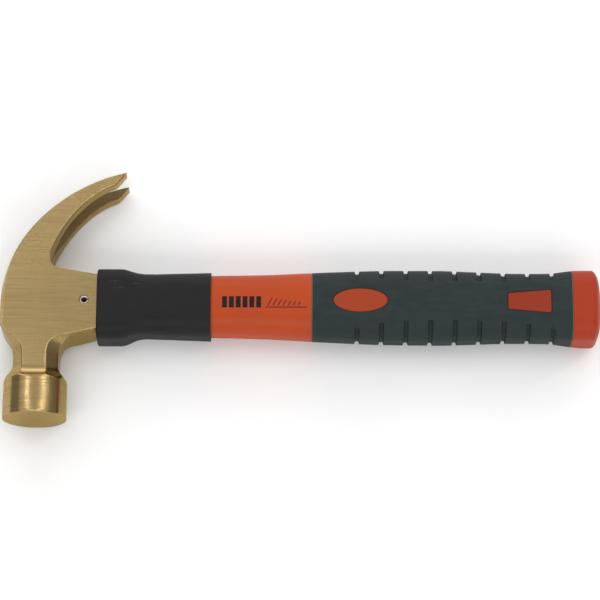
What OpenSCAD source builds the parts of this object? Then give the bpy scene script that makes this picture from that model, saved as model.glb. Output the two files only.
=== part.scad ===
// Claw hammer with a cast alloy head on a fibreglass handle, lying on its side.
// +X runs from the head to the butt, +Y points to the claw, +Z is up.
// Every shape is drawn about the handle's axis, with the poll's axis at x = 0, and set down at the end.

/* [Head] */
// How far the head reaches past the poll's axis, away from the handle
head_back = 18.2; // [16:0.1:20]
// Depth of the striking face below the handle's axis
face_depth = 60.7; // [56:0.1:64]
// Crown of the striking face
face_crown = 0.4; // [0.2:0.1:1.5]
// Radius of the poll
poll_r = 16.5; // [15.5:0.1:17.5]
// Half width of the neck
neck_half = 11.6; // [11:0.1:12.5]
// How far the neck's middle lies from the poll's axis, towards the handle
neck_shift = 0.3; // [0:0.1:0.5]
// Half thickness of the cheeks
cheek_half = 12.5; // [12:0.1:13]
// Reach of the claw's tips from the poll's axis
tip_x = 44.9; // [43:0.1:47]
// Height of the claw's tips above the handle's axis
tip_y = 68; // [66:0.1:71]
// Half width across the claw's tips
tip_half = 15.5; // [14:0.1:16]
// Half width of the nail slot at the tips
slot_half = 7.2; // [5:0.1:8]

/* [Eye and pin] */
// Where the socket ends, inside the collar
socket_end = 46; // [44:0.5:50]
// Depth of the eye
eye_h = 22.5; // [21:0.5:23]
// Width of the eye
eye_w = 14; // [13:0.5:15]
// Radius of the cross pin
pin_r = 2.25; // [2:0.05:2.5]
// Wall of the cross pin
pin_wall = 0.75; // [0.5:0.05:1]
// Distance from the poll's axis to the cross pin
pin_x = 24.5; // [22:0.5:27]

/* [Handle] */
// Depth of the fibreglass core
core_h = 19; // [17:0.5:20]
// Width of the fibreglass core
core_w = 11; // [9:0.5:12]
// Where the collar starts
collar_start = 31; // [30:0.5:33]
// Where the collar ends
collar_end = 89.5; // [86:0.5:93]
// Where the grip starts
grip_start = 141.3; // [138:0.1:145]
// Where the grip ends and the butt starts
butt_start = 275.2; // [274:0.1:276]
// Where the butt ends
butt_end = 290.1; // [289:0.1:292]
// Thickness of the grip's rubber
grip_wall = 2.6; // [2:0.1:3]
// Number of cross grooves on each side of the grip
groove_count = 9; // [5:1:10]
// Width of a groove
groove_w = 2.2; // [1.5:0.1:3]
// Depth of a groove
groove_depth = 1.4; // [1:0.1:1.8]

/* [Hidden] */
$fn = 72;

wide = 60;                  // larger than any half size, for cutting shapes
curve_steps = 14;           // points along each claw curve
flare_top = 14;             // depth at which the neck's flare has run out into the cheeks
shoulder_top = 33;          // depth at which the neck starts to widen to the poll
poll_top = 42.2;            // depth at which the poll's cylinder starts
rim_chamfer = 1;            // chamfer round the striking face
eye_floor = -16;            // outer end of the handle and its resin in the eye
core_end = 283;             // inner end of the core's hole in the butt
pin_recess = 0.5;           // how far the pin's ends lie below the cheeks
pin_slot = 0.9;             // width of the slot along the pin
groove_first = 164.6;       // position of the first groove
groove_pitch = 12.55;       // distance between grooves
groove_reach = 10.7;        // how near to the axis the middle grooves come
groove_arc = 3.8;           // how much further away the outer grooves stop
slot_root = [8.6, 25];      // where the nail slot starts
root = [6.5, 23.6];         // foot of the claw's hollow
bevel = [39.5, 61.3];       // where the hollow starts to curve out to the tips
oval_x = 166.3;             // centre of the oval window
oval_l = 28;                // length of the oval window
oval_h = 12.7;              // height of the oval window
wedge_x = [241.8, 264.2];   // ends of the wedge-shaped window
wedge_h = [8.6, 12.6];      // heights of the wedge-shaped window at those ends
butt_half = 16.5;           // half thickness of the butt

// The part stands on its lowest side, centred over the origin.
rest = [-(butt_end - head_back) / 2, -(tip_y - face_depth - face_crown) / 2, poll_r];

brass = [0.67, 0.57, 0.39];
orange = [0.76, 0.31, 0.18];
rubber = [0.21, 0.25, 0.25];
black = [0.17, 0.17, 0.18];
resin = [0.75, 0.70, 0.55];
fibreglass = [0.82, 0.80, 0.70];
steel = [0.45, 0.45, 0.46];

// Cubic curve from a to d, leaving towards b and arriving from c.
function curve(a, b, c, d, n = curve_steps) =
    [for (i = [0 : n]) let (t = i / n, s = 1 - t)
        s * s * s * a + 3 * s * s * t * b + 3 * s * t * t * c + t * t * t * d];

// Stations along the handle: [x, half depth, half thickness, how far the middle lies below the axis].
collar_line = [
    [collar_start, 18.0, 13.3, 0.8], [collar_start + 1, 18.7, 14.0, 0.8],
    [46, 18.7, 14.0, 0.8], [51, 16.6, 13.3, 0.3],
    [55, 16.1, 13.0, 0.2], [collar_end, 17.2, 13.9, 0.2]
];
front_line = [
    [socket_end, 14.0, 11.2], [56, 14.2, 11.4], [94, 15.9, 12.7],
    [115, 16.2, 13.1], [grip_start, 17.4, 13.6],
];
grip_line = [
    [grip_start, 17.4, 13.6], [162, 18.25, 14.2], [182, 18.9, 14.5], [208, 19.0, 14.5], [234, 18.1, 14.3],
    [252, 17.75, 14.2], [266, 17.8, 14.5], [butt_start, 18.7, 15.8]
];
butt_line = [
    [butt_start, 18.7, 15.8], [279, 18.9, butt_half], [284.5, 18.9, butt_half], [287.4, 18, 15.4],
    [289.4, 15, 12.6], [butt_end, 10.5, 8]
];

// How far below the axis the middle of a station lies.
function drop(station) = len(station) > 3 ? station[3] : 0;

// Tube-like form whose depth and thickness follow a line of stations, inset by a wall thickness.
module lofted(line, inset, corner) {
    first = line[0][0];
    last = line[len(line) - 1][0];
    depth = max([for (s = line) s[1]]) - inset;
    thick = max([for (s = line) s[2]]) - inset;
    middle = max([for (s = line) drop(s)]);
    intersection() {
        linear_extrude(height = 2 * wide, center = true)
            mirrored_outline([for (s = line) [s[0], s[1] - inset, 0, drop(s)]]);
        rotate([90, 0, 0]) linear_extrude(height = 2 * wide, center = true)
            mirrored_outline([for (s = line) [s[0], s[2] - inset]]);
        translate([0, -middle, 0]) prism_x(first, last) rounded_slab(2 * depth, 2 * thick, corner - inset);
    }
}

// Closed outline from a line of stations and its reflection.
module mirrored_outline(line) {
    polygon(concat([for (s = line) [s[0], s[1] - drop(s)]],
        [for (i = [len(line) - 1 : -1 : 0]) [line[i][0], -line[i][1] - drop(line[i])]]));
}

// Runs a section drawn as [depth, thickness] along X.
module prism_x(from, to) {
    translate([from, 0, 0]) rotate([90, 0, 90]) linear_extrude(height = to - from) children();
}

// Rectangle with round corners, centred.
module rounded_slab(w, h, r) {
    square([w - 2 * r, h], center = true);
    square([w, h - 2 * r], center = true);
    for (x = [-1, 1], y = [-1, 1]) translate([x * (w / 2 - r), y * (h / 2 - r)]) circle(r);
}

// The handle core's section.
module core_section() { rounded_slab(core_h, core_w, core_w / 2 - 0.5); }

// The eye's section.
module eye_section() { rounded_slab(eye_h, eye_w, eye_w / 2 - 0.5); }

// Cylinder across the cheeks where the cross pin goes.
module pin_bore(r, half) { translate([pin_x, 0, -half]) cylinder(r = r, h = 2 * half); }

// Side view of the claw and cheeks, down to the top of the neck's flare.
module claw_outline() {
    back = curve([-head_back, -4], [-head_back, 38.1], [17.9, 62.2], [tip_x, tip_y]);
    tip = curve([tip_x, tip_y - 0.4], [tip_x - 1.8, tip_y - 2.6], [41.4, 63.3], bevel, 4);
    hollow = curve(bevel, [18.6, 54], [6.2, 27], root);
    polygon(concat([[-head_back, -flare_top]], back, tip, hollow, [[7.2, 20.2], [11, 17], [11, -flare_top]]));
}

// Side view of the neck and of the cheeks' lower corners.
module neck_outline() {
    near = neck_shift - neck_half;
    far = neck_shift + neck_half;
    left = curve([-head_back, -flare_top], [-15.5, -18.5], [near, -22], [near, -31]);
    right = curve([far, -31], [far, -24.5], [13.2, -19.8], [20, -17.9]);
    polygon(concat(left, [[near, -poll_top], [far, -poll_top]], right, [[20, -flare_top]]));
}

// Side view of the socket.
module socket_outline() {
    polygon([[0, 17], [11, 17], [30.6, 14], [socket_end, 13.2], [socket_end, -13.5], [31, -15.1], [20, -17.9],
        [0, -17.9]]);
}

// Socket that the handle goes into, thinner towards its end.
module socket_form() {
    intersection() {
        linear_extrude(height = 2 * cheek_half, center = true) socket_outline();
        rotate([90, 0, 0]) linear_extrude(height = 2 * wide, center = true)
            mirrored_outline([[0, cheek_half], [11, cheek_half], [31, 11.2], [socket_end, 10.8]]);
    }
}

// Claw and cheeks, wider towards the claw's tips.
module claw_form() {
    intersection() {
        linear_extrude(height = 2 * wide, center = true) claw_outline();
        rotate([90, 0, 90]) linear_extrude(height = 3 * wide, center = true)
            mirrored_outline([[-wide, cheek_half], [14, cheek_half], [tip_y, tip_half]]);
    }
}

// Half section of the poll and neck: [radius, depth].
function neck_flare(depth) = 13.4 + 0.01235 * pow(max(0, 28 - depth), 2.62);
module turned_section() {
    face_r = poll_r - rim_chamfer;
    crown = [for (i = [0 : 8]) let (r = face_r * i / 8) [r, face_depth + face_crown * (1 - pow(i / 8, 2))]];
    shoulder = curve([poll_r - 0.15, poll_top], [poll_r - 1, 39.5], [13.2, 36], [13.4, shoulder_top], 8);
    flare = [for (depth = [28 : -1 : flare_top]) [neck_flare(depth), depth]];
    polygon(concat(crown, [[poll_r, face_depth - rim_chamfer]], shoulder, flare, [[0, flare_top]]));
}

// Poll, neck and the flare into the cheeks.
module poll_form() {
    intersection() {
        rotate([90, 0, 0]) rotate_extrude() turned_section();
        union() {
            linear_extrude(height = 2 * cheek_half, center = true) neck_outline();
            translate([-wide, -2 * wide - shoulder_top, -wide]) cube([2 * wide, 2 * wide, 2 * wide]);
        }
    }
}

// Nail slot: it opens quickly from its root to its full width, which then runs on to the claw's tips.
module nail_slot() {
    run = [tip_x, tip_y] - slot_root;
    slot_l = norm(run);
    reach = 1.3;
    translate([slot_root[0], slot_root[1], 0]) rotate([0, 0, atan2(run[1], run[0])]) rotate([90, 0, 0])
        linear_extrude(height = 2 * wide, center = true)
            polygon([[0, 0], [0.2 * slot_l, -0.75 * slot_half], [0.5 * slot_l, -slot_half],
                [slot_l * reach, -slot_half], [slot_l * reach, slot_half],
                [0.5 * slot_l, slot_half], [0.2 * slot_l, 0.75 * slot_half]]);
}

// One casting: poll, neck, cheeks, claw and socket, with the eye and the pin's hole.
module head() color(brass) {
    difference() {
        union() {
            claw_form();
            socket_form();
            poll_form();
        }
        nail_slot();
        prism_x(-wide, wide) eye_section();
        pin_bore(pin_r, wide);
    }
}

// Spring pin: a tube with one slot along it.
module cross_pin() color(steel) {
    half = cheek_half - 1 - pin_recess;
    difference() {
        pin_bore(pin_r, half);
        pin_bore(pin_r - pin_wall, wide);
        translate([pin_x, -pin_slot / 2, -wide]) cube([2 * pin_r, pin_slot, 2 * wide]);
    }
}

// Fibreglass rod from the eye to the butt.
module handle_core() color(fibreglass) {
    difference() {
        prism_x(eye_floor, core_end) core_section();
        pin_bore(pin_r, wide);
    }
}

// Resin round the rod, inside the eye.
module eye_epoxy() color(resin) {
    difference() {
        prism_x(eye_floor, socket_end) eye_section();
        prism_x(eye_floor - 1, socket_end + 1) core_section();
        pin_bore(pin_r, wide);
    }
}

// The jacket's round-cornered front, which the collar grips.
module jacket_front() { lofted(front_line, 0, 11); }

// Rubber sleeve over the socket and the jacket's front.
module collar() color(black) {
    difference() {
        lofted(collar_line, 0, 8.5);
        socket_form();
        jacket_front();
    }
}

// Oval and wedge-shaped windows, right through the grip's sides.
module windows() {
    translate([oval_x, 0, -wide]) scale([oval_l / oval_h, 1, 1]) cylinder(d = oval_h, h = 2 * wide);
    linear_extrude(height = 2 * wide, center = true)
        mirrored_outline([[wedge_x[0], wedge_h[0] / 2], [wedge_x[1], wedge_h[1] / 2]]);
}

// Outer form of the grip.
module grip_form(inset) { lofted(grip_line, inset, 12); }

// Orange moulding: front, the layer under the grip, the pads in the windows and the butt.
module jacket() color(orange) {
    difference() {
        union() {
            jacket_front();
            grip_form(grip_wall);
            intersection() {
                grip_form(0);
                windows();
            }
            lofted(butt_line, 0, 10);
        }
        prism_x(socket_end - 1, core_end) core_section();
    }
}

// Cross grooves, which stop on an arc on the grip's sides.
module grooves() {
    middle = (groove_count - 1) / 2;
    difference() {
        for (i = [0 : groove_count - 1], side = [0, 1]) {
            stop = groove_reach + groove_arc * pow(abs(i - middle) / middle, 3);
            mirror([0, side, 0]) translate([groove_first + i * groove_pitch - groove_w / 2, stop, -wide])
                cube([groove_w, wide, 2 * wide]);
        }
        grip_form(groove_depth);
    }
}

// Rubber moulded over the jacket.
module grip() color(rubber) {
    difference() {
        grip_form(0);
        grip_form(grip_wall);
        windows();
        grooves();
    }
}

translate(rest) head();
translate(rest) cross_pin();
translate(rest) handle_core();
translate(rest) eye_epoxy();
translate(rest) collar();
translate(rest) jacket();
translate(rest) grip();
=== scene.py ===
# %% [markdown]
# A claw hammer, piece by piece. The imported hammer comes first, because it says where each piece goes.
# Every piece below is drawn again as a fine surface in the place of its plain solid, and gets its finish.

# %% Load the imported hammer
import math
from functools import reduce

import bpy
import numpy as np
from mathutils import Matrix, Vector


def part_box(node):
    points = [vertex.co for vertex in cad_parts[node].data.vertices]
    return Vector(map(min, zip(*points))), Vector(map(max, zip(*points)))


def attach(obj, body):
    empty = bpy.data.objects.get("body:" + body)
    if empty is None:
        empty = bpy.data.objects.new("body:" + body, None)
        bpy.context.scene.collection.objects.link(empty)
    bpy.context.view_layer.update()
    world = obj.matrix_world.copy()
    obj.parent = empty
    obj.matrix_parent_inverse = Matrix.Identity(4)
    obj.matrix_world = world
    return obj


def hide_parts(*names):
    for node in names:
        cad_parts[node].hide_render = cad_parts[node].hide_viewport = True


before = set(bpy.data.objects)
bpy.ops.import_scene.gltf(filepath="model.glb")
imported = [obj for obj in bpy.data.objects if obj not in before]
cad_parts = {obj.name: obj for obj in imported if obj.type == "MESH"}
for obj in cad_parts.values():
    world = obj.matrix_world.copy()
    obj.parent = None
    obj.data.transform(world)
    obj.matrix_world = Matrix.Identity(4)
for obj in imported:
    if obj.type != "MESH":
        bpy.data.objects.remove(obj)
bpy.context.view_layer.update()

head_low, head_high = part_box("head")
grip_low, grip_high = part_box("grip")
collar_low, collar_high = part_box("collar")
jacket_low, jacket_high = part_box("jacket")
pin_low, pin_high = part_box("cross_pin")

# %% [markdown]
# A hammer is easiest to draw about its own lines. So the shapes are worked out in millimetres about three
# of them: the poll's axis is x = 0, the handle's axis is y = 0 and the plane between the two cheeks is
# z = 0. One function then moves a finished shape into the frame, in metres.

# %% The hammer's own lines
MM = 0.001
HEAD_BACK = 18.2          # from the poll's axis to the flat behind the eye
datum = np.array([
    head_low.x + HEAD_BACK * MM,
    (jacket_low.y + jacket_high.y) / 2,
    (head_low.z + head_high.z) / 2,
])
POLL_R = (head_high.z - head_low.z) / 2 / MM
FACE = (datum[1] - head_low.y) / MM            # depth of the striking face's crown
TIP_Y = (head_high.y - datum[1]) / MM          # height of the claw's tips
TIP_X = 44.9
BUTT_END = (jacket_high.x - datum[0]) / MM
GRIP_START = (grip_low.x - datum[0]) / MM
BUTT_START = (grip_high.x - datum[0]) / MM
COLLAR_START = (collar_low.x - datum[0]) / MM
COLLAR_END = (collar_high.x - datum[0]) / MM
PIN_X = ((pin_low.x + pin_high.x) / 2 - datum[0]) / MM
PIN_R = (pin_high.x - pin_low.x) / 2 / MM
print(f"poll radius {POLL_R:.2f}, striking face {FACE:.1f} below the handle's axis")
print(f"claw tips {TIP_Y:.1f} above it, butt {BUTT_END:.1f} along it")


def place(points):
    """Points about the hammer's own lines, in millimetres, moved into the frame: datum + points / 1000."""
    return datum + np.asarray(points, float) * MM


# %% [markdown]
# The camera stands above the hammer's side and a little towards the striking face, so the poll's round face
# shows as a thin ellipse. It is far away with a long lens, as a catalogue picture is taken, which keeps the
# handle's two edges almost parallel.

# %% Camera
def put(name, data):
    """New object that holds data, linked into the scene."""
    made = bpy.data.objects.new(name, data)
    bpy.context.scene.collection.objects.link(made)
    return made


VIEW_HEIGHT = math.radians(72.5)
VIEW_ROLL = math.radians(0.36)
VIEW_DISTANCE = 1500.0
VIEW_WIDTH = 310.2        # width of the picture at the hammer, in millimetres
aim = place([135.3, 4.1, 0.0])
camera_data = bpy.data.cameras.new("camera")
camera_data.sensor_width = 36.0
camera_data.lens = camera_data.sensor_width * VIEW_DISTANCE / VIEW_WIDTH
camera = put("camera", camera_data)
camera.location = aim + VIEW_DISTANCE * MM * np.array([0, -math.cos(VIEW_HEIGHT), math.sin(VIEW_HEIGHT)])
camera.rotation_euler = (math.pi / 2 - VIEW_HEIGHT, 0, 0)
camera.rotation_mode = "XYZ"
camera.rotation_euler.rotate_axis("Z", VIEW_ROLL)
bpy.context.scene.camera = camera
print("lens", round(camera_data.lens, 1))

# %% [markdown]
# Four small tools make every surface here. A Bezier curve gives the long sweeps and a smooth step the soft
# starts and stops. A skin turns a grid of points into a mesh, and a cut takes one solid from another.

# %% Shape tools


def bezier(a, b, c, d, t):
    """Cubic curve from a to d that leaves towards b and arrives from c, at the fractions t."""
    t = np.asarray(t, float)[:, None]
    a, b, c, d = (np.asarray(p, float) for p in (a, b, c, d))
    return (1 - t) ** 3 * a + 3 * (1 - t) ** 2 * t * b + 3 * (1 - t) * t ** 2 * c + t ** 3 * d


def line(a, b, t):
    """Straight stretch from a to b at the fractions t."""
    t = np.asarray(t, float)[:, None]
    return (1 - t) * np.asarray(a, float) + t * np.asarray(b, float)


def step(x, low, high):
    """0 below low, 1 above high, and 3u^2 - 2u^3 between, where u runs from 0 to 1."""
    u = np.clip((np.asarray(x, float) - low) / (high - low), 0, 1)
    return u * u * (3 - 2 * u)


def mesh_of(name, points, faces):
    """Object whose mesh holds these points, in the hammer's millimetres, with its faces turned outwards."""
    mesh = bpy.data.meshes.new(name)
    mesh.from_pydata(place(points).tolist(), [], faces)
    mesh.validate()
    mesh.calc_loop_triangles()
    tri = np.empty(len(mesh.loop_triangles) * 3, int)
    mesh.loop_triangles.foreach_get("vertices", tri)
    co = np.empty(len(mesh.vertices) * 3)
    mesh.vertices.foreach_get("co", co)
    p = co.reshape(-1, 3)[tri.reshape(-1, 3)]
    if np.einsum("ij,ij->i", p[:, 0], np.cross(p[:, 1], p[:, 2])).sum() < 0:
        mesh.flip_normals()
    return put(name, mesh)


def skin(name, rows, closed_along=False):
    """Closed mesh over a grid: rows[i, j] is point j of ring i. Each ring closes on itself.

    The two ends close onto their own middle points, unless the rings also close along the way.
    """
    count, around = rows.shape[:2]
    ring = np.arange(around)
    nxt = (ring + 1) % around
    quads = []
    last = count if closed_along else count - 1
    for i in range(last):
        low, high = i * around, (i + 1) % count * around
        quads.append(np.stack([low + ring, low + nxt, high + nxt, high + ring], axis=1))
    faces = np.concatenate(quads).tolist()
    points = rows.reshape(-1, 3)
    if not closed_along:
        first, end = count * around, count * around + 1
        points = np.concatenate([points, rows[0].mean(0)[None], rows[-1].mean(0)[None]])
        faces += np.stack([nxt, ring, np.full(around, first)], axis=1).tolist()
        top = (count - 1) * around
        faces += np.stack([top + ring, top + nxt, np.full(around, end)], axis=1).tolist()
    return mesh_of(name, points, faces)


def cut(piece, tool, operation="DIFFERENCE"):
    """Takes tool from piece (or joins it), keeps the result as piece's own mesh and removes the tool."""
    change = piece.modifiers.new("cut", "BOOLEAN")
    change.operation = operation
    change.solver = "MANIFOLD"
    change.object = tool
    graph = bpy.context.evaluated_depsgraph_get()
    made = bpy.data.meshes.new_from_object(piece.evaluated_get(graph))
    old = piece.data
    piece.modifiers.clear()
    piece.data = made
    bpy.data.meshes.remove(old)
    bpy.data.objects.remove(tool)


def shade(piece, edge_degrees=32):
    """Smooth shading, with edges sharper than the angle kept crisp."""
    piece.data.shade_smooth()
    piece.data.set_sharp_from_angle(angle=math.radians(edge_degrees))


def belongs(piece, node):
    """The piece rides with the hammer and stands for its plain solid, which is hidden."""
    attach(piece, "root")
    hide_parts(node)
    print(piece.name, "has", len(piece.data.polygons), "faces")


# %% [markdown]
# The head is one casting. It could be a few solids joined and filleted, but fillets where a neck runs into
# cheeks are hard to place that way. Instead the head is drawn as ribs: each rib crosses the side view from
# the back edge to the front edge, and carries a closed section round the head's thickness. The ribs start
# at the poll, swing out along the socket and end at the claw's tips.

# %% Ribs of the head
CHEEK_HALF = 12.5
NECK_HALF = 11.6
NECK_SHIFT = 0.3          # the neck's middle lies this far from the poll's axis, towards the handle
TIP_HALF = 15.5
NECK_Y = -31.0
POLL_TOP = -42.9
FLARE_RIBS = 40           # ribs from the neck to where the flare ends
EDGE = 0.45               # width of the broken edge round the cheeks and the claw
SOCKET_END = 46.0
FLARE_Y = -13.5
CROWN = 0.4
RIM = 0.35
BACK = ([-HEAD_BACK, -4], [-HEAD_BACK, 38.1], [17.9, 62.2], [TIP_X, TIP_Y])
HOLLOW = ([6.5, 23.6], [6.2, 27], [18.6, 54], [39.5, 61.3])
TIP_BEVEL = (HOLLOW[3], [41.0, 62.7], [TIP_X - 1.8, TIP_Y - 2.6], [TIP_X, TIP_Y - 0.4])


def even(n, stop=False):
    """n fractions from 0 towards 1, with 1 itself only if stop."""
    return np.linspace(0, 1, n, endpoint=stop)


def legs():
    """The ribs' back ends and front ends, from the neck to the claw's tips: two lists of equal length."""
    left, right = NECK_SHIFT - NECK_HALF, NECK_SHIFT + NECK_HALF
    back = [
        bezier([left, NECK_Y], [left, -22], [-15.5, -18.5], [-HEAD_BACK, FLARE_Y], even(FLARE_RIBS)),
        line([-HEAD_BACK, FLARE_Y], [-HEAD_BACK, -9], even(16)),
        line([-HEAD_BACK, -9], [-HEAD_BACK, -4], even(10)),
        bezier(*BACK, 0.17 * even(22)),
        bezier(*BACK, 0.17 + 0.08 * even(12)),
        bezier(*BACK, 0.25 + 0.60 * even(106)),
        bezier(*BACK, 0.85 + 0.15 * even(32, stop=True)),
    ]
    front = [
        bezier([right, NECK_Y], [right + 0.1, -24.2], [13.8, -20.2], [20, -17.9], even(FLARE_RIBS)),
        line([20, -17.9], [31, -15.1], even(8)),
        line([31, -15.1], [SOCKET_END, -13.5], even(8)),
        line([SOCKET_END, -13.5], [SOCKET_END, 13.2], even(10)),
        line([SOCKET_END, 13.2], [30.6, 14], even(8)),
        line([30.6, 14], [11, 17], even(14)),
        bezier([11, 17], [8.4, 17.5], [6.3, 19.8], HOLLOW[0], even(12)),
        bezier(*HOLLOW, even(106)),
        bezier(*TIP_BEVEL, even(32, stop=True)),
    ]
    return np.concatenate(back), np.concatenate(front)


def half_thickness(x, y):
    """Half thickness of the head at (x, y): wider up the claw, thinner along the socket.

    It is CHEEK_HALF + (TIP_HALF - CHEEK_HALF) u^1.6 - 1.7 v^1.5, with u the share of the way up the claw
    and v the share of the way along the socket. The last term fades out where the claw leaves the socket.
    """
    claw = CHEEK_HALF + (TIP_HALF - CHEEK_HALF) * np.clip((y - 2) / (TIP_Y - 2), 0, 1) ** 1.6
    socket = 1.7 * np.clip((x - 2) / (SOCKET_END - 2), 0, 1) ** 1.5
    return claw - socket * (1 - step(y, 18, 24))


def rounded(corners, spans, softness):
    """Points along a chain of corners: even steps on each stretch and a small bow round each inner corner.

    corners is [rib, corner, 2] and spans the steps on each stretch. A bow starts and ends at a distance of
    softness from its corner, or 0.4 of the shorter stretch next to it.
    """
    run = np.diff(corners, axis=1)
    length = np.linalg.norm(run, axis=2)
    way = run / np.maximum(length, 1e-9)[..., None]
    inner = np.minimum(softness, 0.4 * np.minimum(length[:, :-1], length[:, 1:]))
    out = []
    for k, steps in enumerate(spans):
        start = inner[:, k - 1] if k else np.zeros(len(corners))
        stop = inner[:, k] if k < len(spans) - 1 else np.zeros(len(corners))
        along = start[:, None] + (length[:, k] - start - stop)[:, None] * np.linspace(0, 1, steps)
        out.append(corners[:, k, None] + along[..., None] * way[:, k, None])
        if k < len(spans) - 1:
            middle = corners[:, k + 1] + 0.25 * stop[:, None] * (way[:, k + 1] - way[:, k])
            out.append(middle[:, None])
    return np.concatenate(out, axis=1)


SPANS = (7, 9, 42, 9, 7)      # back wall, chamfer, cheek, chamfer, front wall


def head_rings():
    """Closed rings [ring, point, 3] from the striking face to the claw's tips.

    A ring's half is a chamfered rectangle between the rib's ends: its depth is the local half thickness,
    and its chamfers are wide on the neck, where they make an octagon, and run out along the cheeks.
    Below the neck the same ring grows outwards until the poll's radius stops it, which leaves the
    scalloped edge where the flats meet the round poll.
    """
    back, front = legs()
    run = front - back
    length = np.linalg.norm(run, axis=1)
    unit = run / length[:, None]
    back_cut = np.maximum(5.4 * (1 - step(back[:, 1], -25.5, -15)), EDGE)
    front_cut = np.maximum(6.0 * (1 - step(front[:, 0], 11.9, 22)), EDGE)
    at_tip = length < 2
    for edge_cut in (back_cut, front_cut):
        edge_cut[FLARE_RIBS + 1:] = EDGE
        edge_cut[at_tip] = np.minimum(0.3 * length, EDGE)[at_tip]
    t_back = half_thickness(back[:, 0], back[:, 1])
    t_front = half_thickness(front[:, 0], front[:, 1])
    zero = np.zeros(len(back))
    corners = np.stack([
        np.stack([zero, zero], 1),
        np.stack([zero, t_back - back_cut], 1),
        np.stack([back_cut, t_back], 1),
        np.stack([length - front_cut, t_front], 1),
        np.stack([length, t_front - front_cut], 1),
        np.stack([length, zero], 1),
    ], axis=1)
    half = rounded(corners, SPANS, 0.25)
    xy = back[:, None] + half[..., :1] * unit[:, None]
    z = half[..., 1]
    face_from = SPANS[0] + SPANS[1] + 3
    face_to = face_from + SPANS[2] - 2
    z[:, face_from:face_to] = half_thickness(xy[:, face_from:face_to, 0], xy[:, face_from:face_to, 1])
    near = np.concatenate([xy, z[..., None]], axis=2)
    rings = np.concatenate([near, (near * [1, 1, -1])[:, -2:0:-1]], axis=1)
    return np.concatenate([poll_rings(rings[0]), rings])


def poll_rings(neck):
    """Rings from the face's middle up to the neck: the neck's ring grows until the poll's radius stops it.

    Going down from the neck, the near and far flats grow along a quarter circle 7.2 mm high, and the left
    and right ones along a smooth step 9.4 mm high. A point r from the axis is then drawn in to
    r (1 + (r / radius)^90)^(-1/90), so none passes the radius.
    """
    flat = neck[:, [0, 2]]
    y = np.concatenate([np.linspace(-FACE + CROWN + RIM, POLL_TOP - 1.2, 20, endpoint=False),
                        np.linspace(POLL_TOP - 1.2, NECK_Y, 60, endpoint=False)])[:, None]
    own = flat - [NECK_SHIFT, 0]
    facing = 1 - (own[:, 0] / np.linalg.norm(own, axis=1)) ** 4
    late = (y - POLL_TOP - 0.7 * facing) / (9.4 - 2.2 * facing)
    swell = (1 - step(late, 0, 1)) ** 1.25
    cove = (1 - np.sqrt(1 - (0.97 * np.clip(1 - late, 0, 1)) ** 2)) / (1 - math.sqrt(1 - 0.97 ** 2))
    grown = (1 - facing) * swell + facing * cove
    grow = 1 + (POLL_R / NECK_HALF - 1) * grown
    x, z = grow * own[:, 0] + NECK_SHIFT * (1 - grown), grow * own[:, 1]
    far = np.hypot(x, z)
    radius = POLL_R - 0.15 * step(y, -FACE + 4, POLL_TOP)
    sharp = 90.0
    factor = (1 + (far / radius) ** sharp) ** (-1 / sharp)
    body = np.stack([x * factor, np.broadcast_to(y, x.shape), z * factor], axis=2)
    turn = np.linspace(0, math.pi / 2, 6)[1:]
    rim_r = POLL_R - RIM * (1 - np.cos(turn))
    rim_y = -FACE + CROWN + RIM * (1 - np.sin(turn))
    face_r = (POLL_R - RIM) * np.linspace(1, 0, 14)[1:-1]
    face_y = -FACE + CROWN * (face_r / (POLL_R - RIM)) ** 2
    r = np.concatenate([rim_r, face_r])[::-1]
    depth = np.concatenate([rim_y, face_y])[::-1]
    round_way = flat / np.linalg.norm(flat, axis=1)[:, None]
    face = np.stack([r[:, None] * round_way[:, 0], np.repeat(depth[:, None], len(flat), 1),
                     r[:, None] * round_way[:, 1]], axis=2)
    return np.concatenate([face, body])


rings = head_rings()
head = skin("hammer_head", rings)
print("head rings", rings.shape)

# %% [markdown]
# Three tools open the casting: a long slot between the claw's prongs, whose mouth is bevelled where a
# nail's head sits, a tapered oval for the eye, and a drill for the cross pin with a small countersink.

# %% Nail slot, eye and pin hole
SLOT_HALF = 7.5
SLOT_BEVEL = 0.3


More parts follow.
